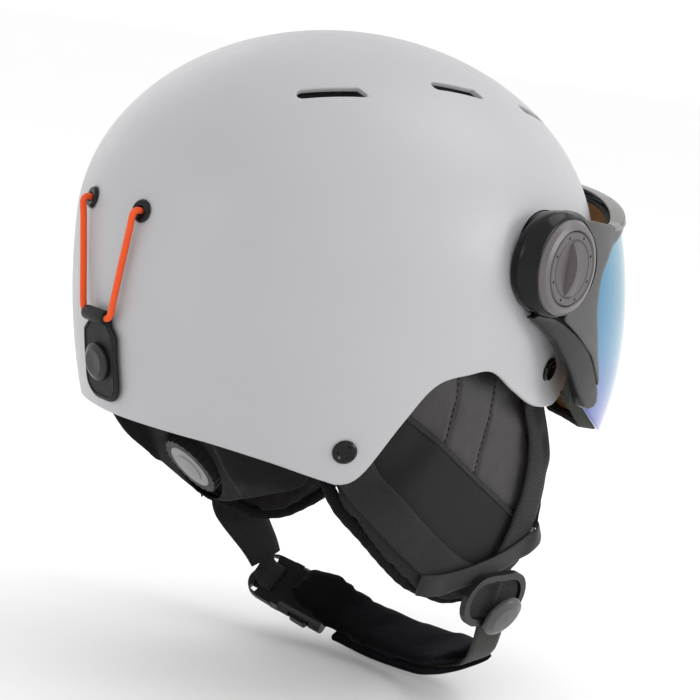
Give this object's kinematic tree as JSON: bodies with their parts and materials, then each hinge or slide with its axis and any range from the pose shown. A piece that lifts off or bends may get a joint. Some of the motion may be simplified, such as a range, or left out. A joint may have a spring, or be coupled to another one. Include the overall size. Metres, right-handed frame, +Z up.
{
  "type": "visor ski helmet",
  "caption": "Domed ski helmet with a lifting wrap visor on friction knobs, padded ear flaps, a padded chin strap with side-release buckle, a nape fit dial and a goggle tab.",
  "frame": {"origin": "centre of the wearer's head on the line through the ears, where a head form holds the helmet", "axes": "+Z up to the crown, -Y to the front of the visor, +X to the wearer's left"},
  "size_m": [0.249, 0.2956, 0.3123],
  "materials": {
    "shell": "matte",
    "foam": "matte",
    "mesh": "matte",
    "comfort_pad": "matte",
    "dark_plastic": "satin",
    "dial_face": "satin",
    "steel": "satin",
    "gloss_trim": "gloss",
    "satin_frame": "satin",
    "outer_lens": "gloss",
    "inner_lens": "gloss",
    "gasket_foam": "matte",
    "elastic": "matte",
    "soft_tab": "matte",
    "flap_leather": "matte",
    "webbing": "matte",
    "fleece": "matte"
  },
  "bodies": {
    "helmet": {"outer_shell": "shell", "eps_liner": "foam", "vent_mesh": "mesh", "crown_pad": "comfort_pad", "brow_pad": "comfort_pad", "nape_pad": "comfort_pad", "fit_cradle": "dark_plastic", "dial_housing": "dark_plastic", "dial_spring": "steel", "pivot_base_right": "gloss_trim", "pivot_base_left": "gloss_trim", "pivot_bolts": "steel", "eyelets": "gloss_trim", "elastic_cord": "elastic", "snap_stud": "steel", "strap_rivets": "gloss_trim", "ear_flap_right": "flap_leather", "ear_flap_left": "flap_leather", "ear_lining_right": "comfort_pad", "ear_lining_left": "comfort_pad", "rear_webbing_right": "webbing", "rear_webbing_left": "webbing", "front_webbing_right": "webbing", "front_webbing_left": "webbing", "flap_band_right": "webbing", "flap_band_left": "webbing", "divider_right": "dark_plastic", "divider_cap": "dark_plastic", "chin_webbing": "webbing", "chin_pad": "fleece", "sleeve_cover": "fleece", "buckle_socket": "dark_plastic", "strap_tail_left": "webbing"},
    "visor": {"visor_frame": "satin_frame", "visor_lens": "outer_lens", "inner_lens": "inner_lens", "visor_gasket": "gasket_foam", "visor_bracket_right": "gloss_trim", "visor_bracket_left": "gloss_trim", "knob_bezel_right": "satin_frame", "knob_bezel_left": "satin_frame"},
    "knob_right_body": {"knob_right": "satin_frame"},
    "knob_left_body": {"knob_left": "satin_frame"},
    "dial": {"fit_dial": "dark_plastic", "dial_cap": "dial_face", "dial_pinion": "steel"},
    "band_left_body": {"band_left": "dark_plastic"},
    "band_right_body": {"band_right": "dark_plastic"},
    "tab": {"goggle_tab": "soft_tab", "snap_cap": "gloss_trim"},
    "plug": {"buckle_plug": "dark_plastic"},
    "prong_rear_body": {"prong_rear": "dark_plastic"},
    "prong_front_body": {"prong_front": "dark_plastic"}
  },
  "joints": [
    {"name": "visor_lift", "type": "hinge", "parent": "helmet", "child": "visor", "pos_m": [0, -0.027, 0.069], "axis": [-1, 0, 0], "range_deg": [0, 60]},
    {"name": "knob_right_turn", "type": "hinge", "parent": "visor", "child": "knob_right_body", "pos_m": [-0.1125, -0.027, 0.069], "axis": [-0.9781, -0.2079, 0], "range_deg": [0, 90]},
    {"name": "knob_left_turn", "type": "hinge", "parent": "visor", "child": "knob_left_body", "pos_m": [0.1125, -0.027, 0.069], "axis": [0.9781, -0.2079, 0], "range_deg": [0, 90]},
    {"name": "fit_dial_turn", "type": "hinge", "parent": "helmet", "child": "dial", "pos_m": [0, 0.0687, -0.0424], "axis": [0, 0.7431, -0.6691], "range_deg": [0, 240]},
    {"name": "band_left_draw", "type": "hinge", "parent": "helmet", "child": "band_left_body", "pos_m": [0, -0.00353, 0.02264], "axis": [0, 0.6691, 0.7431], "range_deg": [0, 13.1]},
    {"name": "band_right_draw", "type": "hinge", "parent": "helmet", "child": "band_right_body", "pos_m": [0, -0.00353, 0.02264], "axis": [0, -0.6691, -0.7431], "range_deg": [0, 13.1]},
    {"name": "goggle_tab_lift", "type": "hinge", "parent": "helmet", "child": "tab", "pos_m": [0, 0.1354, 0.022], "axis": [1, 0, 0], "range_deg": [0, 100]},
    {"name": "buckle_release", "type": "slide", "parent": "helmet", "child": "plug", "axis": [0.8702, 0.4301, 0.2402], "range_m": [0, 0.02], "deforming": ["prong_rear", "prong_front", "strap_tail_left"]},
    {"name": "prong_rear_press", "type": "hinge", "parent": "plug", "child": "prong_rear_body", "pos_m": [0.0619, -0.03792, -0.13939], "axis": [-0.4642, 0.5524, 0.6924], "range_deg": [0, 7], "stiffness_Nm_per_rad": 0.05},
    {"name": "prong_front_press", "type": "hinge", "parent": "plug", "child": "prong_front_body", "pos_m": [0.0648, -0.05049, -0.12742], "axis": [0.4642, -0.5524, -0.6924], "range_deg": [0, 7], "stiffness_Nm_per_rad": 0.05}
  ],
  "couplings": [
    {"joint": "band_left_draw", "follows": "fit_dial_turn", "ratio": 0.054348},
    {"joint": "band_right_draw", "follows": "fit_dial_turn", "ratio": 0.054348}
  ]
}
